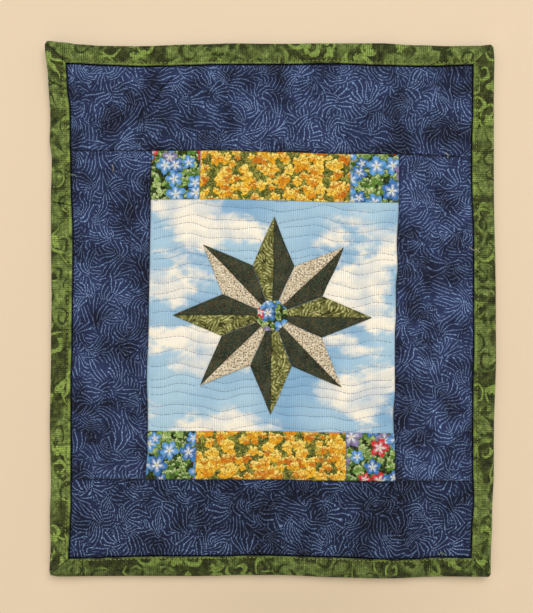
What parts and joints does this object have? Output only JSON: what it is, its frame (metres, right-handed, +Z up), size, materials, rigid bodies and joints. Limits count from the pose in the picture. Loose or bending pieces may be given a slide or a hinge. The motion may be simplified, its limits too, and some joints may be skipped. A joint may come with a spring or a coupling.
{
  "type": "quilted wall hanging",
  "caption": "Small quilted wall hanging: a channel-quilted centre panel in navy print borders, with a green print binding folded over the edge.",
  "frame": {"origin": "middle of the top edge, on the plane that lies against the wall", "axes": "+Z up, the front faces -Y, +Y into the wall, +X to the right as seen from the front"},
  "size_m": [0.2779, 0.0083, 0.3308],
  "materials": {
    "backing_cotton": "plain woven cotton over thin wadding",
    "panel_cotton": "pieced printed cotton, machine quilted",
    "navy_cotton": "navy tonal print cotton",
    "green_cotton": "green tonal print cotton"
  },
  "bodies": {
    "root": {"padded_back": "backing_cotton", "centre_panel": "panel_cotton", "border_top": "navy_cotton", "border_bottom": "navy_cotton", "border_left": "navy_cotton", "border_right": "navy_cotton", "binding": "green_cotton"}
  },
  "joints": []
}
